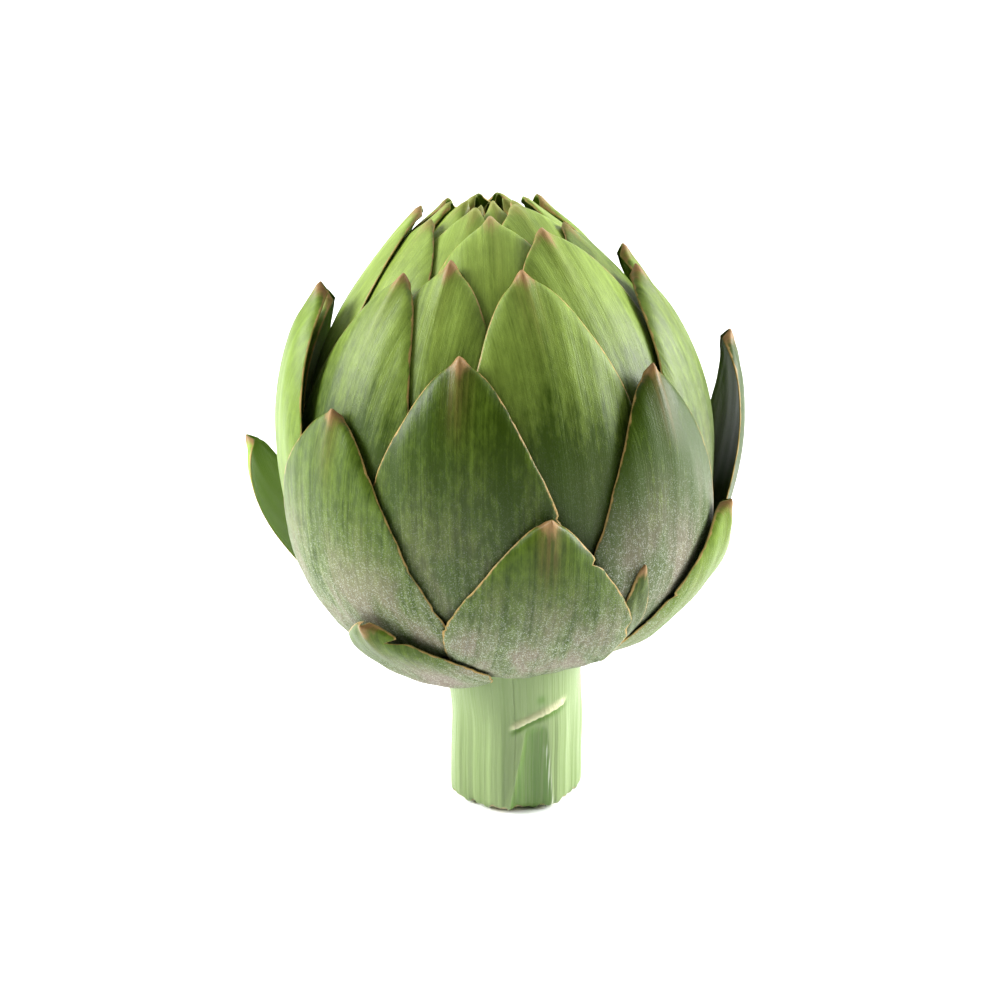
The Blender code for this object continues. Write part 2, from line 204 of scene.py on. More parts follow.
skylight = bpy.data.lights.new("skylight", "SUN")
skylight.energy = SKYLIGHT
skylight.angle = SKYLIGHT_SPREAD
aimed(bpy.data.objects.new("skylight", skylight), SKYLIGHT_PLACE, (0.0, 0.0, 0.0))
for lamp_name, (lamp_place, lamp_width, lamp_power) in LAMPS.items():
    lamp = bpy.data.lights.new(lamp_name, "AREA")
    lamp.energy = lamp_power
    lamp.size = lamp_width
    aimed(bpy.data.objects.new(lamp_name, lamp), lamp_place, LOOKED_AT)

camera = bpy.data.cameras.new("camera")
camera.sensor_width = FILM_WIDTH
camera.lens = FILM_WIDTH * CAMERA_DISTANCE / VIEW_WIDTH
camera.clip_start, camera.clip_end = CLIP_START, CLIP_END
camera_arm = Vector((0.0, -np.cos(CAMERA_HEIGHT_ANGLE), np.sin(CAMERA_HEIGHT_ANGLE)))
camera_place = LOOKED_AT + CAMERA_DISTANCE * camera_arm
bpy.context.scene.camera = aimed(bpy.data.objects.new("camera", camera), camera_place, LOOKED_AT)


# ---------------------------------------------------------------- stem and heart
# One solid piece of the plant: a ribbed, fibrous stem cut off flat, and the fleshy heart that it swells
# into under the bracts. A small leaf was torn off in front, which left a thin lip and a flat green facet.
STEM_RADIUS = 0.0146
STEM_RIBS = 7
STEM_RIB_HEIGHT = 0.0005
STRAND_COUNTS = (17, 29, 41, 64, 97)
STRAND_HEIGHT = 0.0011               # of a single strand round the stem, and less for the finer ones
NECK_HEIGHT = 0.026
HEAD_CENTRE = 0.060
HEAD_TILT = 2.9
TILT_FROM, TILT_RUN = 0.010, 0.016   # the height where the tilt begins, and the run that eases it in
HEART_RADIUS = 0.0285
HEART_ROOT_POLAR = 32.0
HEART_RIM_POLAR = 86.0
HEART_DISH_HEIGHT = 0.053
STEM_SIDES = 360
STEM_RINGS = 210
LIP_START, LIP_END = (-8.0, 0.0206), (52.0, 0.0256)     # azimuth and height of its two ends
LIP_HEIGHT = 0.0009
LIP_GROOVE = 0.0004
LIP_OVERHANG = 0.0005
FACET_TOP, FACET_FOOT = (9.0, 0.0205), (-6.0, 0.0)      # its left edge, a sharp ridge
FACET_RIGHT = (28.0, 36.0)                              # azimuth of its right edge, top and foot
FACET_CEILING = 0.0215
FACET_DEPTH = 0.0007
RIDGE_HEIGHT = 0.00045
RIDGE_WIDTH = 2.5                                       # in degrees
RAGGED_HEIGHT = 0.0009
FLECK_CEILING = 0.0165
SPOT, SPOT_SIZE = (23.1, 0.0270), (4.0, 0.0010)         # azimuth and height of a dark spot

STEM_PALE = (0.215, 0.285, 0.115, 1.0)
STEM_GREEN = (0.150, 0.225, 0.062, 1.0)
STEM_DEEP = (0.07, 0.17, 0.008, 1.0)
STEM_DRY = (0.40, 0.27, 0.13, 1.0)
STEM_LIP = (0.62, 0.60, 0.36, 1.0)
STEM_PITH = (0.66, 0.68, 0.44, 1.0)
STEM_FLECK = (0.85, 0.88, 0.72, 1.0)


def ease(x):
    """0 to 1 with level ends: 3 x squared less 2 x cubed"""
    x = np.clip(x, 0, 1)
    return x * x * (3 - 2 * x)


def bell(x, width):
    """1 at zero, falling off as a bell of that width"""
    return np.exp(-(x / width) ** 2)


def even_line(corners, count):
    """a smooth line through a few corners, read at even steps along its own length: its corners are
    joined by straight runs, which are then averaged with their neighbours a few times"""
    corners = np.asarray(corners, float)
    run = np.r_[0, np.cumsum(np.linalg.norm(np.diff(corners, axis=0), axis=1))]
    at = np.linspace(0, run[-1], count)
    line = np.stack([np.interp(at, run, corners[:, axis]) for axis in range(corners.shape[1])], -1)
    for _ in range(3):
        line[1:-1] = (line[:-2] + 2 * line[1:-1] + line[2:]) / 4
    return line


def nod(points):
    """everything above the neck tilts towards -X by the head's tilt, eased in along the neck"""
    tilt = np.radians(HEAD_TILT) * ease((points[..., 2] - TILT_FROM) / TILT_RUN)
    x, z = points[..., 0], points[..., 2] - NECK_HEIGHT
    return np.stack([x * np.cos(tilt) - z * np.sin(tilt), points[..., 1],
                     NECK_HEIGHT + z * np.cos(tilt) + x * np.sin(tilt)], -1)


def turned_piece(name, points, finish, numbers, flat_map):
    """a closed turned skin: rings of points from the middle of the underside out and up to the middle of
    the top, with the first and last rings drawn together to a point"""
    rings, sides = points.shape[:2]
    grid = np.arange(rings * sides).reshape(rings, sides)
    a, b = grid[:-1], np.roll(grid[:-1], -1, axis=1)
    c, d = np.roll(grid[1:], -1, axis=1), grid[1:]
    quads = np.stack([a, b, c, d], -1).reshape(-1, 4)
    foot, top = rings * sides, rings * sides + 1
    under = np.stack([np.roll(grid[0], -1), grid[0], np.full(sides, foot)], -1)
    over = np.stack([grid[-1], np.roll(grid[-1], -1), np.full(sides, top)], -1)
    mesh = bpy.data.meshes.new(name)
    ends = np.stack([points[0].mean(0), points[-1].mean(0)])
    everything = np.concatenate([points.reshape(-1, 3), ends])
    mesh.from_pydata(everything.tolist(), [], quads.tolist() + under.tolist() + over.tolist())
    mesh.materials.append(finish.material)
    mesh.shade_smooth()
    for number, values in numbers.items():
        full = np.broadcast_to(values, (rings, sides))
        stored = np.r_[full.ravel(), full[0].mean(), full[-1].mean()]
        mesh.attributes.new(number, "FLOAT", "POINT").data.foreach_set("value", stored.astype(np.float32))
    add_flat_map(mesh, np.concatenate([flat_map.reshape(-1, 2), flat_map[0, :1], flat_map[-1, :1]]))
    made = bpy.data.objects.new(name, mesh)
    bpy.context.scene.collection.objects.link(made)
    return made


def add_flat_map(mesh, flat):
    """the flat map in millimetres, given at the points and stored at the corners of the faces"""
    corners = np.zeros(len(mesh.loops), np.int32)
    mesh.loops.foreach_get("vertex_index", corners)
    mesh.uv_layers.new(name="skin").data.foreach_set("uv", flat[corners].astype(np.float32).ravel())


def stem_skin():
    """The profile runs from the middle of the cut, out over its rim, up the wall and the heart, and down
    into the dish. The wall then takes seven ribs and many fine strands, the lip and the facet."""
    polars = np.radians(np.linspace(HEART_ROOT_POLAR, HEART_RIM_POLAR, 12))
    heart = np.stack([HEART_RADIUS * np.sin(polars), HEAD_CENTRE - HEART_RADIUS * np.cos(polars)], -1)
    profile = [(0.0004, 0.0004), (STEM_RADIUS - 0.0022, 0.0003), (STEM_RADIUS - 0.0007, 0.0002),
               (STEM_RADIUS - 0.0001, 0.0012), (STEM_RADIUS, 0.004), (STEM_RADIUS, 0.022),
               (STEM_RADIUS + 0.0006, 0.031), *heart.tolist(), (0.0265, 0.0569),
               (0.0225, HEART_DISH_HEIGHT + 0.0025), (0.0120, HEART_DISH_HEIGHT),
               (0.0004, HEART_DISH_HEIGHT - 0.0003)]
    line = even_line(profile, STEM_RINGS)
    radius, height = line[:, :1], line[:, 1:]
    turn = np.arange(STEM_SIDES) * 2 * np.pi / STEM_SIDES
    azimuth = (np.degrees(turn)[None, :] + 180) % 360 - 180
    wall = ease(radius / STEM_RADIUS / 0.9 - 0.1) * (1 - ease((height - 0.030) / 0.006))
    low = 1 - ease((height - 0.015) / 0.015)
    # the azimuth runs from -Y towards +X, and the ribs are counted from +X
    ribs = STEM_RIB_HEIGHT * low * np.cos(STEM_RIBS * (turn - np.pi / 2))[None, :]
    random = np.random.default_rng(7)
    strands = 0
    # each set of strands drifts round the stem a little as it climbs
    for count in STRAND_COUNTS:
        drift = random.uniform(0, 2 * np.pi) + 40 * height * random.uniform(0.2, 1.0)
        strands = strands + np.cos(count * turn[None, :] + drift) * STRAND_HEIGHT / count ** 0.75
    # distance above the lip's line, and the share of its length
    share = (azimuth - LIP_START[0]) / (LIP_END[0] - LIP_START[0])
    lip_line = LIP_START[1] + (LIP_END[1] - LIP_START[1]) * share + 0.0006 * np.sin(3 * share)
    above = height - lip_line
    lip_here = ease(share / 0.15) * ease((1 - share) / 0.2)
    edge, groove = bell(above - 0.0001, 0.00045), bell(above + 0.0010, 0.0006)
    lip = lip_here * (LIP_HEIGHT * edge - LIP_GROOVE * groove)
    # the facet, whose left edge is a ridge that leans
    fall = np.clip((FACET_TOP[1] - height) / (FACET_TOP[1] - FACET_FOOT[1]), 0, 1)
    left = FACET_TOP[0] + (FACET_FOOT[0] - FACET_TOP[0]) * fall
    right = FACET_RIGHT[0] + (FACET_RIGHT[1] - FACET_RIGHT[0]) * fall
    across = (azimuth - left) / (right - left)
    inside = np.clip(4 * across * (1 - across), 0, 1) * ease((FACET_CEILING - height) / 0.003)
    ridge = RIDGE_HEIGHT * bell(azimuth - left, RIDGE_WIDTH) * ease((0.021 - height) / 0.006)
    facet = ridge - FACET_DEPTH * inside
    # the cut edge is ragged
    at_rim = radius > STEM_RADIUS - 0.002
    ragged = RAGGED_HEIGHT * ease((0.004 - height) / 0.004) * at_rim
    teeth = 0.5 + 0.5 * np.sin(11 * turn + 1.3) * np.sin(5 * turn + 0.4) + 0.25 * np.sin(31 * turn)
    out = radius + wall * (ribs + 0.6 * low * strands + lip + facet)
    points = np.stack([out * np.sin(turn), -out * np.cos(turn), height + ragged * teeth[None, :]], -1)
    points[..., 2] -= LIP_OVERHANG * lip_here * bell(above, 0.0005) * wall
    # the flat map is laid out round the wall and along the profile, both in millimetres
    flat = np.stack([turn[None, :] * STEM_RADIUS * 1000 + 0 * height,
                     np.linspace(0, 1, STEM_RINGS)[:, None] * 100 + 0 * turn[None, :]], -1)
    numbers = {
        "cut": (1 - ease((radius - STEM_RADIUS + 0.0022) / 0.0012)) * (height < 0.01),
        "edge_of_cut": bell(height - 0.0004, 0.0009) * (0.4 + 0.6 * teeth)[None, :] * at_rim,
        "lip": lip_here * bell(above - 0.0002, 0.0006) * wall,
        # painted shade: a deep green band in the groove under the overhanging lip
        "painted_shade_under_lip": lip_here * bell(above + 0.0012, 0.0009) * wall,
        "facet": ease(inside * 6) * (across > 0) * (across < 1) * ease((FACET_CEILING - height) / 0.002),
        "fleck": bell(azimuth - right + 1.5, 1.6) * ease((FLECK_CEILING - height) / 0.002),
        "spot": bell(np.hypot((azimuth - SPOT[0]) / SPOT_SIZE[0], (height - SPOT[1]) / SPOT_SIZE[1]), 1.0),
    }
    return nod(points), numbers, flat


def stem_finish():
    """pale green with darker strands along it, a dry brown edge at the cut and pith inside the ring"""
    made = Finish("stem_skin")
    strands = made.noise(made.laid_out(1.9, 0.035), 4.0, 0.6)
    broad = made.noise(made.laid_out(0.30, 0.020), 2.0)
    clouds = made.noise(made.in_space((90.0, 90.0, 60.0)), 2.0)
    tone = made.sum((strands, 0.9), (broad, 1.5), (clouds, 0.5), (1.0, -0.95))
    green = made.blend(tone, STEM_PALE, STEM_GREEN)
    facet_green = made.blend(made.between(strands, 0.35, 0.7), STEM_DEEP, STEM_GREEN)
    green = made.blend(made.times(made.own("facet"), 0.85), green, facet_green)
    # painted shade: the groove under the lip is darkened to deep green
    green = made.blend(made.times(made.own("painted_shade_under_lip"), 0.9), green, STEM_DEEP)
    green = made.blend(made.times(made.own("spot"), 0.8), green, STEM_DEEP)
    green = made.blend(made.own("lip"), green, STEM_LIP)
    dry_noise = made.noise(made.laid_out(0.5, 0.9), 3.0)
    dry = made.between(made.sum((made.own("edge_of_cut"), 1.0), (dry_noise, 0.9)), 0.95, 1.35)
    green = made.blend(dry, green, STEM_DRY)
    pith_dots = made.without(made.between(made.spots(made.in_space((700.0, 700.0, 40.0))), 0.15, 0.3))
    pith = made.blend(made.times(pith_dots, 0.5), STEM_PITH, STEM_GREEN)
    green = made.blend(made.own("cut"), green, pith)
    pale_fleck = made.times(made.own("fleck"), made.between(strands, 0.48, 0.58))
    green = made.blend(pale_fleck, green, STEM_FLECK)
    made.surface(Base_Color=green, Roughness=made.sum((strands, 0.25), (1.0, 0.30)),
                 Normal=made.relief(strands, 0.00022))
    return made


stem_points, stem_numbers, stem_flat = stem_skin()
stem = turned_piece("stem_and_heart_skin", stem_points, stem_finish(), stem_numbers, stem_flat)
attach(stem, "root")
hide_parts("stem_and_heart")


# ---------------------------------------------------------------- choke
# The unopened florets: a low cushion of fine pale bristles that fills the dish on top of the heart,
# grown onto it and shut in by the bracts.
CHOKE_RADIUS = 0.0245
CHOKE_TOP = 0.078
CHOKE_SIDES = 240
CHOKE_RINGS = 120
TUFTS_ROUND = 40
TUFT_TWIST = 0.9                     # how far the waves turn from one ring to the next, in radians
TUFT_DEPTH = 0.012                   # as a share of the radius
CHOKE_CREAM = (0.74, 0.66, 0.42, 1.0)
CHOKE_VIOLET = (0.42, 0.24, 0.36, 1.0)


def choke_skin():
    """a turned cushion whose skin stands up in tufts: two crossed waves round it and along it"""
    profile = [(0.0003, 0.0537), (0.0115, 0.0537), (0.0215, 0.0565), (CHOKE_RADIUS - 0.0002, 0.0620),
               (0.0208, 0.0688), (0.0138, 0.0757), (0.0050, CHOKE_TOP - 0.0004),
               (0.0003, CHOKE_TOP - 0.0002)]
    line = even_line(profile, CHOKE_RINGS)
    turn = np.arange(CHOKE_SIDES)[None, :] * 2 * np.pi / CHOKE_SIDES
    step = np.arange(CHOKE_RINGS)[:, None]
    twist = TUFT_TWIST * step
    tufts = np.cos(TUFTS_ROUND * turn + twist) * np.cos(TUFTS_ROUND * turn - twist)
    radius = line[:, :1] * (1 - TUFT_DEPTH * (1 - tufts))
    points = np.stack([radius * np.sin(turn), -radius * np.cos(turn), line[:, 1:] + 0 * turn], -1)
    flat = np.stack([turn * 24 + 0 * step, step * 0.5 + 0 * turn], -1)
    numbers = {"top": ease((line[:, 1:] - 0.066) / 0.010) + 0 * turn}
    return nod(points), numbers, flat


choke_finish = Finish("choke_bristles")
choke_hairs = choke_finish.noise(choke_finish.laid_out(3.0, 0.25), 4.0, 0.7)
choke_violet = choke_finish.times(choke_finish.own("top"), choke_hairs)
choke_colour = choke_finish.blend(choke_violet, CHOKE_CREAM, CHOKE_VIOLET)
choke_finish.surface(Base_Color=choke_colour, Roughness=0.85,
                     Normal=choke_finish.relief(choke_hairs, 0.0003))
choke_points, choke_numbers, choke_flat = choke_skin()
choke = turned_piece("choke_bristles", choke_points, choke_finish, choke_numbers, choke_flat)
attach(choke, "root")
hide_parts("choke")


# ---------------------------------------------------------------- young bracts
# The closed bud of some fifty thin young bracts over the choke, a pale cap that stands on the heart's rim.
# They are too tightly wrapped to part, and only their tips are seen, down in the crown's opening.
# The bud's outline: polar angle from straight down and radius, both about the head's centre
BUD_POLAR = (90.0, 100.0, 110.0, 120.0, 130.0, 140.0, 150.0, 160.0, 170.0, 176.0)
BUD_RADIUS = (0.0285, 0.0286, 0.0310, 0.0345, 0.0380, 0.0415, 0.0450, 0.0490, 0.0545, 0.0600)
BUD_SIDES = 260
BUD_RINGS = 200
BUD_CLEAR = 0.0004                   # room between its hollow and the choke
BUD_FOOT_HEIGHT = 0.0586
BUD_TOP = 0.1204
BUD_SCALE = 0.0011                   # how far one young bract stands proud of the next
BUD_ROWS, BUD_SPIRALS = 13, 5        # rows of scales up the bud, and spirals that they follow
BUD_TIPS, BUD_TIP_TWIST = 4, 20      # how the scales' pointed ends are set round and up the bud
BUD_OUTSIDE_FROM = 0.42              # share of the profile where the outside begins
BUD_PALE = (0.56, 0.60, 0.26, 1.0)
BUD_VIOLET = (0.34, 0.20, 0.26, 1.0)


def bud_skin():
    """The profile runs from the middle of the hollow down to the foot and up the outside. The outside is
    laid in scales: along two crossed spirals each one rises slowly to its tip and drops at its end."""
    polars, radii = np.radians(BUD_POLAR), np.array(BUD_RADIUS)
    outside = np.stack([radii * np.sin(polars), HEAD_CENTRE - radii * np.cos(polars)], -1).tolist()
    hollow = [(0.0003, CHOKE_TOP + 0.0010), (0.0050, CHOKE_TOP + 0.0010), (0.0143, 0.0768),
              (0.0215, 0.0695), (CHOKE_RADIUS + BUD_CLEAR, 0.0621)]
    foot = [(CHOKE_RADIUS + BUD_CLEAR, BUD_FOOT_HEIGHT), (HEART_RADIUS - 0.0005, BUD_FOOT_HEIGHT)]
    line = even_line(hollow + foot + outside + [(0.0003, BUD_TOP)], BUD_RINGS)
    turn = np.arange(BUD_SIDES)[None, :] * 2 * np.pi / BUD_SIDES
    step = np.arange(BUD_RINGS)[:, None] / BUD_RINGS
    out = ease((step - BUD_OUTSIDE_FROM) / 0.05)
    row = BUD_ROWS * step + BUD_SPIRALS * turn / (2 * np.pi)
    across = np.abs(np.sin(BUD_TIPS * turn - BUD_TIP_TWIST * step))
    rising = (row + 0.35 * across) % 1
    scale = rising * (1 - ease((rising - 0.88) / 0.12))
    radius = line[:, :1] - BUD_SCALE * out * (1 - scale)
    radius = np.maximum(radius, 0.0002)
    points = np.stack([radius * np.sin(turn), -radius * np.cos(turn), line[:, 1:] + 0 * turn], -1)
    flat = np.stack([turn * 28 + 0 * step, step * 150 + 0 * turn], -1)
    return nod(points), {"up_scale": scale + 0 * turn}, flat


bud_finish = Finish("young_bract_skin")
bud_strands = bud_finish.noise(bud_finish.laid_out(1.2, 0.08), 3.0, 0.6)
bud_violet = bud_finish.times(bud_finish.between(bud_finish.own("up_scale"), 0.45, 0.85), bud_strands)
bud_colour = bud_finish.blend(bud_violet, BUD_PALE, BUD_VIOLET)
bud_finish.surface(Base_Color=bud_colour, Roughness=0.5, Normal=bud_finish.relief(bud_strands, 0.0001))
bud_points, bud_numbers, bud_flat = bud_skin()
bud = turned_piece("young_bract_skins", bud_points, bud_finish, bud_numbers, bud_flat)
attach(bud, "root")
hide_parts("inner_bracts")


# ---------------------------------------------------------------- bracts
# Fifty-four fleshy green scales, grown onto the heart one golden angle after another, each laid over the
# ones inside it. They are thick at the root and thin at the margins, and end in a small dry point.
# The head's outline: polar angle from straight down and radius, both about the head's centre
HEAD_POLAR = (20.0, 33.0, 50.0, 65.0, 80.0, 95.0, 110.0, 125.0, 140.0, 155.0, 168.0, 180.0)
HEAD_RADIUS = (0.0395, 0.0394, 0.0398, 0.0416, 0.0447, 0.0487,
               0.0525, 0.0577, 0.0635, 0.0695, 0.0754, 0.0784)
SLACK = 0.006                        # how much fuller the head's underside is on its -X side
BRACTS = 54
GOLDEN_ANGLE = 137.508
FIRST_AZIMUTH = 28.5
FIRST_ROOT_POLAR = 33.0
LAST_ROOT_POLAR = 79.0
CROWN_ANGLE = 1.5                    # angle from the crown at which the tips end up
TIP_SPAN = 64.6                      # and how much further from it the outermost long bract ends
TIP_FADE = 10.8                      # number of bracts over which that span fades to about a third
FULL_LENGTH_FROM = 8                 # the bracts below this one are shorter, each by a step
LOW_TIP_STEP = 6.0
LEAST_LENGTH = 36.0                  # in degrees about the head's centre
WIDEST = 0.46                        # share of the length at which a bract is widest
LEAST_WIDTH = 0.035                  # share of the greatest width that is left at the very tip
LAYER_DEPTH = 0.00045
LAYER_GAP = 0.00035
ROOT_THICKNESS = 0.0022
ROOT_THINNING = 0.0006               # how much thinner the innermost root is
TIP_THICKNESS = 0.0011
LEAST_THICKNESS = 0.00032
HEEL = 0.005                         # the run in which a bract leaves the heart
CUPPING = 0.0016                     # how far the margins lie below the middle
BLUNTNESS = 0.10                     # share of the width that the rounded end makes up
CROWN_BLUNTNESS = 0.22               # and what the crown's bracts have on top of that
CROWN_HOOK = 0.0010                  # the crown's tips hook in over the middle by this much
CROWN_CLOSING = 1.6                  # how much further the crown's tips lean in over the middle
SINK_FROM = 43                       # the innermost tips sink into the crown, each a little deeper
CROWN_SINK = 0.0007
RIB_HEIGHT = 0.00007
RIB_WAVE = 1.15                      # how far the ribs' wave goes in a millimetre, in radians
BUCKLE = 0.00022                     # how far the skin stands out of true
KEEL_HEIGHT, KEEL_WIDTH = 0.00050, 1.3                  # widths across the keel and the point in mm
POINT_HEIGHT, POINT_WIDTH = 0.0003, 0.9
# What each bract named here does apart from the rule, by its place in the spiral, where 0 is the lowest:
# shift turns it and lean turns its tip about the vertical, rise lifts the tip, all in degrees; width is a
# factor, widest is where along it it is widest, and flare stands the tip off, in metres.
IRREGULAR = {
    1: dict(shift=-21),
    3: dict(shift=-14, rise=3, width=0.95, flare=0.0025),
    5: dict(shift=8, rise=9, width=0.88, flare=0.0012),
    6: dict(shift=-36, rise=-10),
    8: dict(shift=-4, lean=7, width=0.98, widest=0.52),
    9: dict(shift=20, rise=-11, width=0.85, flare=0.012),
    10: dict(shift=6, lean=1, rise=5, width=0.9, flare=0.0065),
    11: dict(shift=-11, lean=7, rise=3, width=1.2),
    13: dict(shift=8, rise=0.3, width=1.05),
    14: dict(shift=10, lean=6, rise=8, flare=0.004),
    16: dict(shift=-1, lean=2, rise=-3, width=1.15),
    18: dict(shift=4, rise=1),
    19: dict(shift=8, lean=14, rise=3, width=1.05),
    21: dict(shift=-2, lean=-5, width=1.15),
    22: dict(shift=19, rise=-13, width=1.12, flare=0.003),
    23: dict(rise=-7, flare=0.001),
    24: dict(shift=4, lean=7, rise=-2, width=1.1),
    26: dict(shift=-10, lean=-7, width=1.25),
    27: dict(shift=-8, lean=-18, rise=0.8, width=1.1),
    29: dict(rise=2, width=1.15),
    31: dict(shift=-10, lean=-4, rise=-3.5, width=1.1),
    32: dict(shift=-12, lean=-8, rise=-1.5, width=1.1),
    34: dict(shift=5, lean=5, rise=1.5, width=1.1),
    36: dict(shift=-10, width=1.2),
    37: dict(shift=-4),
}
SLIVER = dict(azimuth=36.5, root=62.0, tip=99.0, width=5.5, thickness=0.0008)
SLIVER_LIES_UNDER = 8

PILE_ROWS, PILE_COLUMNS = 43, 31     # the grid on which the pile settles
ROWS, COLUMNS = 121, 41              # the grid of each finished skin
POLAR_STEPS, AZIMUTH_STEPS = 540, 1080
RELAXATIONS = 150

# Tears, by bract: the margin (-1 left, 1 right), where along the bract it is, how deep as a share of the
# half width, and how long as a share of the length.
TEARS = {
    8: [(1, 0.86, 0.16, 0.010), (1, 0.55, 0.05, 0.030)],
    3: [(1, 0.90, 0.50, 0.012)],
    11: [(1, 0.30, 0.30, 0.010)],
    5: [(-1, 0.70, 0.06, 0.012)],
}
# How thick the waxy bloom lies on the lower half of each of these bracts, and of all the others
BLOOM = {0: 0.4, 1: 0.6, 2: 0.6, 3: 1.2, 4: 0.6, 5: 1.0, 6: 0.4, 7: 0.5, 8: 1.0, 9: 0.3, 10: 0.3,
         11: 0.95, 12: 0.5, 13: 0.85, 15: 0.4, 16: 0.35, 18: 0.4}
OTHER_BLOOM = 0.12
# How brown the middle is below the tip of each of these bracts, and of all the others
BROWN = {3: 0.4, 5: 0.4, 8: 1.0, 11: 0.5, 13: 0.7, 16: 0.9, 21: 0.5}
OTHER_BROWN = 0.15
# How much paler the green of a bract is than the rule makes it, or deeper where it is below zero
# entry 9 is painted light, that bract made paler as if lit through from behind; entry 10 is painted shade
PALER_AND_PAINTED_LIGHT = {1: 0.1, 3: 0.1, 5: 0.35, 9: 0.8, 10: -0.3, 13: -0.3, 14: 0.25, 16: -0.25, 21: 0.05, 27: 0.1,
         31: -0.3}


def through(x, xs, ys):
    """smooth curve through a few points: cubic pieces with the slope of the neighbours"""
    xs, ys = np.asarray(xs), np.asarray(ys)
    slope = np.gradient(ys, xs)
    i = np.clip(np.searchsorted(xs, x) - 1, 0, len(xs) - 2)
    step = xs[i + 1] - xs[i]
    t = np.clip((x - xs[i]) / step, 0, 1)
    bend = (t * (1 - t) ** 2 * slope[i] - t * t * (1 - t) * slope[i + 1]) * step
    return ys[i] + (ys[i + 1] - ys[i]) * ease(t) + bend


def direction(azimuth, polar):
    """unit vector from the head's centre: the azimuth turns from -Y towards +X, and the polar angle from
    straight down"""
    a, p = np.radians(azimuth), np.radians(polar)
    return np.stack([np.sin(a) * np.sin(p), -np.cos(a) * np.sin(p), -np.cos(p) + 0 * a], -1)


def polar_of(d):
    return np.degrees(np.arccos(np.clip(-d[..., 2], -1, 1)))


def azimuth_of(d):
    return np.degrees(np.arctan2(d[..., 0], -d[..., 1]))


def tip_angle(index):
    """angle between the crown and the tip of a bract: a span that fades out from one bract to the next,
    and for the lowest bracts the full span and an even step for each place"""
    if index < FULL_LENGTH_FROM:
        return CROWN_ANGLE + TIP_SPAN + LOW_TIP_STEP * (FULL_LENGTH_FROM - index)
    return CROWN_ANGLE + TIP_SPAN * np.exp((FULL_LENGTH_FROM - index) / TIP_FADE)


def outermost_at(polar):
    """index of the outermost bract that reaches this far up: the inverse of tip_angle"""
    angle = np.clip(180 - polar - CROWN_ANGLE, 0.05, None)
    return np.clip(FULL_LENGTH_FROM - TIP_FADE * np.log(angle / TIP_SPAN), 0, BRACTS - 1)


def half_width(index):
    """greatest half width: the middle bracts are the broadest, and the innermost are narrow"""
    return 27.5 + 1.5 * np.exp(-((index - 14) / 8.0) ** 2) - 6.0 * ease((index - 24) / 26.0)


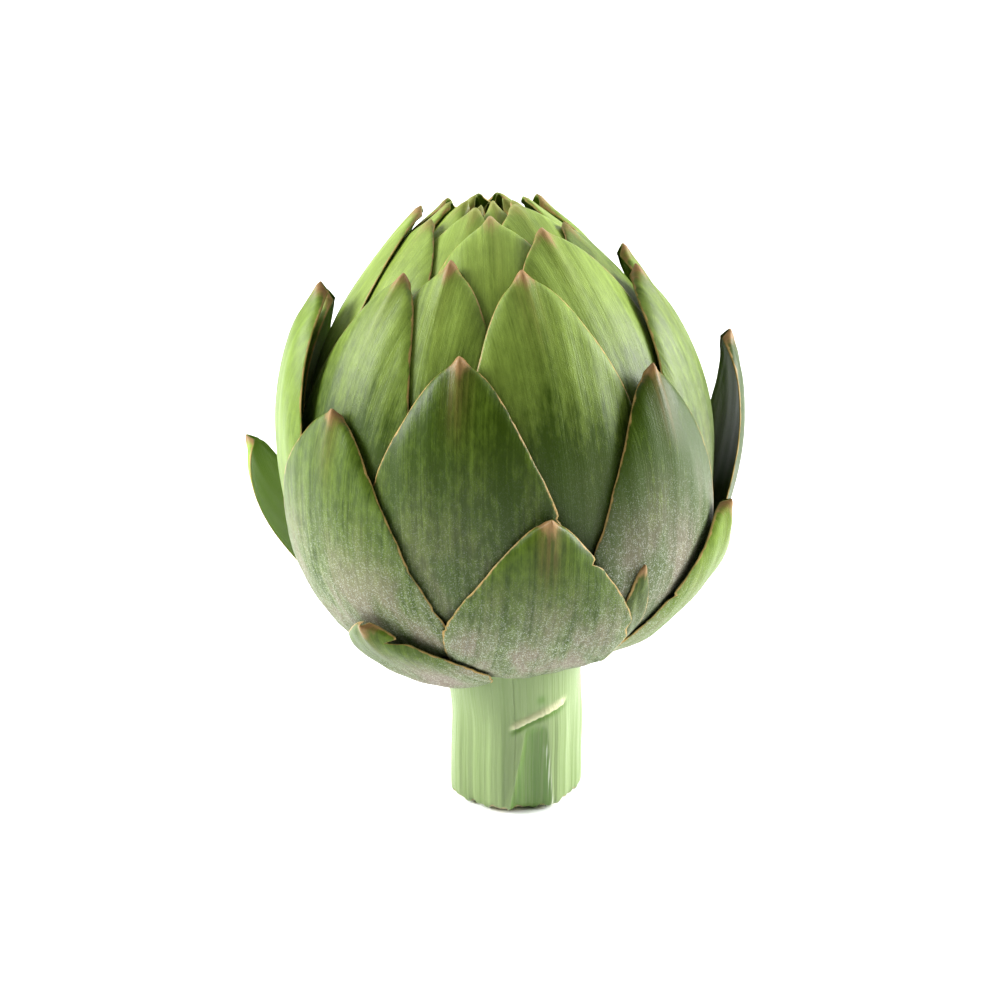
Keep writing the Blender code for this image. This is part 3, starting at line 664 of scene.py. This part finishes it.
class Bract:
    """one bract: where it is rooted, where it points, how wide, thick and flared it is"""

    def __init__(self, index):
        own = IRREGULAR.get(index, {})
        share = index / (BRACTS - 1)
        self.index = index
        self.torn = index == 0
        azimuth = FIRST_AZIMUTH - GOLDEN_ANGLE * index + own.get("shift", 0)
        root = FIRST_ROOT_POLAR + (LAST_ROOT_POLAR - FIRST_ROOT_POLAR) * share
        closing = CROWN_CLOSING * ease((index - 30) / 14)
        tip = max(180 - tip_angle(index) + closing + own.get("rise", 0), root + LEAST_LENGTH)
        self.width = np.radians(half_width(index) * own.get("width", 1))
        self.widest = own.get("widest", WIDEST)
        self.flare = own.get("flare", 0)
        self.root_thickness = ROOT_THICKNESS - ROOT_THINNING * share
        self.tip_thickness = TIP_THICKNESS
        self.bluntness = BLUNTNESS + CROWN_BLUNTNESS * ease((index - 20) / 16)
        self.sunk = CROWN_SINK * np.clip(index - SINK_FROM, 0, None)
        self.hooked = CROWN_HOOK * ease((index - 24) / 10)
        if self.torn:
            azimuth, root, tip = SLIVER["azimuth"], SLIVER["root"], SLIVER["tip"]
            self.width = np.radians(SLIVER["width"])
            self.root_thickness = self.tip_thickness = SLIVER["thickness"]
        self.root = direction(azimuth, root)
        point = direction(azimuth + own.get("lean", 0), tip)
        self.side = np.cross(point, self.root)
        self.side /= np.linalg.norm(self.side)
        self.up = point - (point @ self.root) * self.root
        self.up /= np.linalg.norm(self.up)
        self.length = np.arccos(point @ self.root)

    def width_at(self, v):
        """half width: widens from the root as a quarter sine, then narrows to a blunt point"""
        low = 0.5 + 0.5 * np.sin(np.pi / 2 * np.clip(v / self.widest, 0, 1))
        from_tip = np.clip((1 - v) / (1 - self.widest), 0, 1)
        round_end = self.bluntness * (1 - np.exp(-from_tip / (0.26 * self.bluntness)))
        high = round_end + (1 - self.bluntness) * (1 - (1 - from_tip) ** 1.55)
        return self.width * np.maximum(np.where(v < self.widest, low, high), LEAST_WIDTH)

    def directions(self, u, v):
        """u runs across from -1 to 1, and v along from the root at 0 to the tip at 1"""
        across = u * self.width_at(v)
        along = v * self.length + 0 * u
        spine = np.cos(along)[..., None] * self.root + np.sin(along)[..., None] * self.up
        return np.cos(across)[..., None] * spine + np.sin(across)[..., None] * self.side

    def place_of(self, d):
        """u and v of directions"""
        v = np.arctan2(d @ self.up, d @ self.root) / self.length
        across = np.arcsin(np.clip(d @ self.side, -1, 1))
        return across / self.width_at(np.clip(v, 0, 1)), v

    def thickness(self, u, v):
        """thick and fleshy at the root, thin towards the tip and the margins"""
        along = self.tip_thickness + (self.root_thickness - self.tip_thickness) * (1 - v) ** 1.6
        return along * (1 - 0.62 * np.abs(u) ** 4) * (1 - 0.35 * ease((v - 0.9) / 0.1))

    def wished_radius(self, u, v, d):
        """where the inner face would lie with nothing under it"""
        polar = polar_of(d)
        deep = LAYER_DEPTH * np.clip(self.index - outermost_at(polar), 0, None)
        slack = SLACK * ease((88 - polar) / 42) * (0.5 + 0.5 * np.sin(np.radians(azimuth_of(d))))
        free = np.maximum(through(polar, HEAD_POLAR, HEAD_RADIUS) - deep - slack, HEART_RADIUS + LAYER_GAP)
        leaving = 1 - np.exp(-v * self.length * HEART_RADIUS / HEEL)
        free = HEART_RADIUS + LAYER_GAP + (free - HEART_RADIUS - LAYER_GAP) * leaving
        cupped = CUPPING * u ** 2 * ease(v / 0.4)
        sunk = self.sunk * ease((v - 0.4) / 0.6) + self.hooked * ease((v - 0.88) / 0.12)
        return free - cupped - sunk + self.flare * ease((v - 0.45) / 0.55) ** 1.3


def sample(grid, y, x):
    """grid read between its points, y down the rows and x along the columns, both in steps"""
    y0 = np.clip(np.floor(y).astype(int), 0, grid.shape[0] - 2)
    x0 = np.clip(np.floor(x).astype(int), 0, grid.shape[1] - 2)
    fy, fx = np.clip(y - y0, 0, 1), np.clip(x - x0, 0, 1)
    near = grid[y0, x0] * (1 - fx) + grid[y0, x0 + 1] * fx
    far = grid[y0 + 1, x0] * (1 - fx) + grid[y0 + 1, x0 + 1] * fx
    return near * (1 - fy) + far * fy


def neighbour_mean(grid):
    p = np.pad(grid, 1, mode="edge")
    return (p[:-2, 1:-1] + p[2:, 1:-1] + p[1:-1, :-2] + p[1:-1, 2:] + 4 * grid) / 8


def reader(coarse, fine):
    """matrix that reads a row of coarse points at many fine steps, by cubic pieces through four points"""
    x = np.linspace(0, coarse - 1, fine)
    start = np.clip(x.astype(int), 0, coarse - 2)
    t = x - start
    parts = (-t + 2 * t ** 2 - t ** 3, 2 - 5 * t ** 2 + 3 * t ** 3,
             t + 4 * t ** 2 - 3 * t ** 3, t ** 3 - t ** 2)
    weights = np.zeros((fine, coarse))
    for offset, part in zip((-1, 0, 1, 2), parts):
        np.add.at(weights, (np.arange(fine), np.clip(start + offset, 0, coarse - 1)), part / 2)
    return weights


def settled_pile():
    """Lay the bracts on the heart from the innermost to the outermost. Each one rests on what lies under
    it, bends smoothly over it, and elsewhere keeps to the radius that it wants. The pile so far is kept
    as one radius for each direction round the head."""
    azimuths = np.arange(AZIMUTH_STEPS + 1) * 360 / AZIMUTH_STEPS
    polars = (np.arange(POLAR_STEPS) + 0.5) * 180 / POLAR_STEPS
    around = direction(azimuths[None, :], polars[:, None])
    surface = np.interp(polars, BUD_POLAR, BUD_RADIUS)[:, None] + 0 * azimuths
    u, v = np.linspace(-1, 1, PILE_COLUMNS)[None, :], np.linspace(0, 1, PILE_ROWS)[:, None]
    fine_u, fine_v = np.linspace(-1, 1, COLUMNS)[None, :], np.linspace(0, 1, ROWS)[:, None]
    down, across = reader(PILE_ROWS, ROWS), reader(PILE_COLUMNS, COLUMNS)
    order = list(range(BRACTS - 1, SLIVER_LIES_UNDER, -1)) + [0] + list(range(SLIVER_LIES_UNDER, 0, -1))
    laid = {}
    for index in order:
        bract = Bract(index)

        def floor_under(d):
            y = polar_of(d) * POLAR_STEPS / 180 - 0.5
            x = (azimuth_of(d) % 360) * AZIMUTH_STEPS / 360
            return sample(surface, y, x) + LAYER_GAP

        d = bract.directions(u, v)
        floor = floor_under(d)
        wish = floor if bract.torn else bract.wished_radius(u, v, d)
        radius = np.maximum(wish, floor)
        for _ in range(RELAXATIONS):
            radius = np.maximum(floor, wish + neighbour_mean(radius - wish))
            if not bract.torn:
                radius[0] = np.maximum(HEART_RADIUS + LAYER_GAP, floor[0])
        fine_d = bract.directions(fine_u, fine_v)
        fine_floor = floor_under(fine_d) - 0.7 * LAYER_GAP
        inner = down @ radius @ across.T
        for _ in range(3):
            inner = np.maximum(fine_floor, neighbour_mean(inner))
        outer = inner + bract.thickness(fine_u, fine_v)
        laid[index] = inner, outer
        # only the directions near this bract are looked at
        near = (around @ bract.root) > np.cos(min(np.hypot(bract.length, bract.width) + 0.1, np.pi))
        place_u, place_v = bract.place_of(around[near])
        on = (np.abs(place_u) < 1.02) & (place_v > -0.01) & (place_v < 1.005)
        raised = surface[near]
        over = sample(outer, place_v[on] * (ROWS - 1), (place_u[on] + 1) / 2 * (COLUMNS - 1))
        raised[on] = np.maximum(raised[on], over)
        surface[near] = raised
        surface[:, -1] = surface[:, 0] = np.maximum(surface[:, 0], surface[:, -1])
    return laid


def uneven(random, x, waves):
    """a gently uneven line: sines of a few wavelengths, each with its own start"""
    return sum(size * np.sin(2 * np.pi * (count * x + random.uniform())) for count, size in waves)


def bract_points(bract, inner, outer):
    """Both faces of one bract. The margins wander in a little and are torn in places; the skin has soft
    ribs along it; the tip is pinched into a keel. Returns the outer face, the inner face and the numbers
    that its finish reads."""
    random = np.random.default_rng(100 + bract.index)
    u, v = np.broadcast_arrays(np.linspace(-1, 1, COLUMNS)[None, :], np.linspace(0, 1, ROWS)[:, None])
    line = v[:, 0]
    drawn_in = np.zeros((ROWS, 2))
    for margin in (0, 1):
        worn = uneven(random, line, ((3, 0.010), (7, 0.007), (17, 0.004))) + 0.012
        nicks = 0
        for _ in range(3):
            nicks = nicks + random.uniform(0.01, 0.03) * bell(line - random.uniform(0.3, 0.95), 0.006)
        drawn_in[:, margin] = np.maximum(worn, 0) + nicks
    for side, place, depth, length in TEARS.get(bract.index, []):
        drawn_in[:, (side + 1) // 2] += depth * bell(line - place, length)
    share = (u + 1) / 2
    true_u = u * (1 - drawn_in[:, :1] * (1 - share) - drawn_in[:, 1:] * share)
    at = v * (ROWS - 1), (true_u + 1) / 2 * (COLUMNS - 1)
    inner_radius, outer_radius = sample(inner, *at), sample(outer, *at)
    d = bract.directions(true_u, v)
    reach = outer_radius * 1000
    across = true_u * bract.width_at(v) * reach
    length = bract.length * reach.mean()
    margin = (1 - np.abs(u)) * bract.width_at(v) * reach
    to_tip = (1 - v) * length
    # soft ribs, a slightly buckled skin, and the keel of the tip
    wander = 0.8 * uneven(random, v, ((1.0, 1.0),))
    ribs = RIB_HEIGHT * np.cos(across * RIB_WAVE + wander) * ease(margin / 3)
    waves = uneven(random, v + 0.4 * true_u, ((1.6, 1.0), (2.7, 0.5)))
    buckled = BUCKLE * waves * (1 - ease((v - 0.8) / 0.2))
    horny = 1 - 0.7 * ease((bract.index - 24) / 12)
    keel = KEEL_HEIGHT * horny * bell(across, KEEL_WIDTH) * ease((9 - to_tip) / 8)
    point = POINT_HEIGHT * horny * bell(across, POINT_WIDTH) * ease((2.2 - to_tip) / 1.6)
    # the shell thins towards its margins
    full = LEAST_THICKNESS + 0.0009 * ease(margin / 5) + 0.003 * ease(margin / 14)
    thin = np.minimum(outer_radius - inner_radius, full)
    shown = outer_radius + ribs + buckled * ease(margin / 4) + keel + point
    hidden = shown - thin - keel * 0.4
    numbers = {
        "margin": margin,
        "to_tip": to_tip,
        "midrib": bell(across, 1.6),
        "bloom": BLOOM.get(bract.index, OTHER_BLOOM) * (1 - ease((v - 0.45) / 0.45)),
        "dryness": horny + 0 * v,
        # the inner bracts are paler; lower down, where their neighbours overlap them, painted shade makes
        # them deep green
        "paleness": 0.08 + 0.55 * ease(bract.index / 36) + PALER_AND_PAINTED_LIGHT.get(bract.index, 0)
                    - 0.60 * ease((bract.index - 16) / 4) * (1 - ease((v - 0.64) / 0.28)),
        "streak": BROWN.get(bract.index, OTHER_BROWN) * bell(across, 2.4) * ease((15 - to_tip) / 12),
    }
    flat = np.stack([across, v * length], -1) + 37.0 * bract.index
    centre = np.array([0, 0, HEAD_CENTRE])
    return nod(shown[..., None] * d + centre), nod(hidden[..., None] * d + centre), numbers, flat


def bract_object(bract, shown, hidden, numbers, flat, finish):
    """a closed shell: outer face, inner face turned round, and a rounded margin between them"""
    size = ROWS * COLUMNS
    grid = np.arange(size).reshape(ROWS, COLUMNS)
    a, b, c, d = grid[:-1, :-1], grid[:-1, 1:], grid[1:, 1:], grid[1:, :-1]
    sheet = np.stack([a, b, c, d], -1).reshape(-1, 4)
    ring = np.concatenate([grid[0, :-1], grid[:-1, -1], grid[-1, :0:-1], grid[:0:-1, 0]])
    inward = np.concatenate([grid[1, :-1], grid[:-1, -2], grid[-2, :0:-1], grid[:0:-1, 1]])
    rim = 2 * size + np.arange(len(ring))
    after, rim_after = np.roll(ring, -1), np.roll(rim, -1)
    faces = np.concatenate([sheet, sheet[:, ::-1] + size,
                            np.stack([ring, rim, rim_after, after], -1),
                            np.stack([rim, ring + size, after + size, rim_after], -1)])
    top, under = shown.reshape(-1, 3), hidden.reshape(-1, 3)
    outwards = top[ring] - top[inward]
    outwards /= np.maximum(np.linalg.norm(outwards, axis=1, keepdims=True), 1e-9)
    deep = np.linalg.norm(top[ring] - under[ring], axis=1, keepdims=True)
    edge = (top[ring] + under[ring]) / 2 + 0.35 * deep * outwards
    name = f"bract_{bract.index + 1:02d}_skin"
    made = mesh_object(name, np.concatenate([top, under, edge]), faces, finish)
    mesh = made.data
    for number, values in numbers.items():
        values = values.ravel()
        stored = np.concatenate([values, values, values[ring]])
        mesh.attributes.new(number, "FLOAT", "POINT").data.foreach_set("value", stored.astype(np.float32))
    faced = np.concatenate([np.zeros(size), np.ones(size), np.full(len(ring), 0.5)])
    mesh.attributes.new("inner_face", "FLOAT", "POINT").data.foreach_set("value", faced.astype(np.float32))
    flat = flat.reshape(-1, 2)
    add_flat_map(mesh, np.concatenate([flat, flat + 11.0, flat[ring]]))
    return made


DEEP_GREEN = (0.026, 0.050, 0.001, 1.0)
LEAF_GREEN = (0.195, 0.300, 0.030, 1.0)
# the crown's green is partly the inner bracts' own paler colour and partly painted light that brightens
# the crown
CROWN_GREEN_WITH_PAINTED_LIGHT = (0.245, 0.345, 0.055, 1.0)
BLOOM_GREY = (0.205, 0.220, 0.135, 1.0)
BLOOM_VIOLET = (0.225, 0.170, 0.150, 1.0)
BLOOM_WHITE = (0.56, 0.59, 0.53, 1.0)
TIP_BROWN = (0.145, 0.075, 0.028, 1.0)
TIP_TAN = (0.31, 0.19, 0.075, 1.0)
MARGIN_TAN = (0.32, 0.21, 0.07, 1.0)
INNER_GREEN = (0.20, 0.32, 0.06, 1.0)


def bract_finish(name, leaf_green):
    """A fibrous green skin: strands along it, a waxy bloom that stands in grey and violet clouds and white
    specks on the outer bracts, a tan line along the margins and a dry brown point."""
    made = Finish(name)
    fine = made.noise(made.laid_out(2.8, 0.055), 4.0, 0.6)
    strands = made.noise(made.laid_out(0.9, 0.022), 3.0, 0.55)
    clouds = made.noise(made.laid_out(0.10, 0.05), 3.0, 0.55)
    grain = made.noise(made.laid_out(1.3, 1.3), 2.0)
    mottle = made.noise(made.laid_out(0.8, 0.35), 4.0, 0.65)
    # the tone takes each bract's paleness together with the painted shade low on the covered bracts
    tone = made.sum((made.own("paleness"), 1.0), (strands, 0.50), (fine, 0.40), (mottle, 0.70),
                    (clouds, 0.50), (1.0, -1.06))
    green = made.blend(tone, DEEP_GREEN, leaf_green)
    bloom = made.own("bloom")
    haze = made.times(bloom, made.between(made.sum((clouds, 0.6), (strands, 0.4)), 0.30, 0.62))
    bloom_colour = made.blend(made.between(clouds, 0.42, 0.62), BLOOM_GREY, BLOOM_VIOLET)
    green = made.blend(made.times(haze, 0.68), green, bloom_colour)
    specks = made.without(made.between(made.spots(made.laid_out(3.6, 3.6)), 0.15, 0.55))
    specks = made.times(specks, made.between(made.sum((grain, 0.5), (mottle, 0.5)), 0.38, 0.56))
    green = made.blend(made.times(specks, made.times(bloom, 0.62)), green, BLOOM_WHITE)
    worn = made.noise(made.laid_out(0.7, 0.35), 3.0, 0.6)
    margin = made.sum((made.own("margin"), 1.0), (worn, -1.6))
    green = made.blend(made.without(made.between(margin, -0.80, -0.35)), green, MARGIN_TAN)
    tip = made.sum((made.own("to_tip"), 1.0), (worn, -5.0), (made.own("midrib"), -2.0))
    broken = made.sum((made.between(strands, 0.35, 0.65), 0.45), (clouds, 0.3))
    streak = made.times(made.own("streak"), broken)
    green = made.blend(streak, green, TIP_BROWN)
    dried = made.without(made.between(tip, -3.8, -0.8))
    green = made.blend(made.times(dried, made.own("dryness")), green, made.blend(fine, TIP_BROWN, TIP_TAN))
    # the inner face's tone carries the same paleness and painted shade
    inner_tone = made.sum((made.own("paleness"), 0.9), (fine, 0.6), (1.0, -0.15))
    inner_green = made.blend(inner_tone, DEEP_GREEN, INNER_GREEN)
    green = made.blend(made.times(made.own("inner_face"), 0.85), green, inner_green)
    roughness = made.sum((fine, 0.20), (bloom, 0.25), (1.0, 0.32))
    relief = made.relief(fine, 0.00007)
    made.surface(Base_Color=green, Roughness=roughness, Specular_IOR_Level=0.15,
                 Normal=made.relief(specks, 0.00002, relief))
    return made


outer_finish = bract_finish("outer_bract_skin", LEAF_GREEN)
# the inner bracts take the crown green, with its painted light
inner_finish = bract_finish("inner_bract_skin_with_painted_light", CROWN_GREEN_WITH_PAINTED_LIGHT)
OUTER_BRACTS = 18
for bract_index, (inner_radii, outer_radii) in sorted(settled_pile().items()):
    leaf = Bract(bract_index)
    is_outer = bract_index < OUTER_BRACTS
    leaf_parts = bract_points(leaf, inner_radii, outer_radii)
    piece = bract_object(leaf, *leaf_parts, outer_finish if is_outer else inner_finish)
    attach(piece, "root")
    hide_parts(f"bract_{bract_index + 1:02d}")
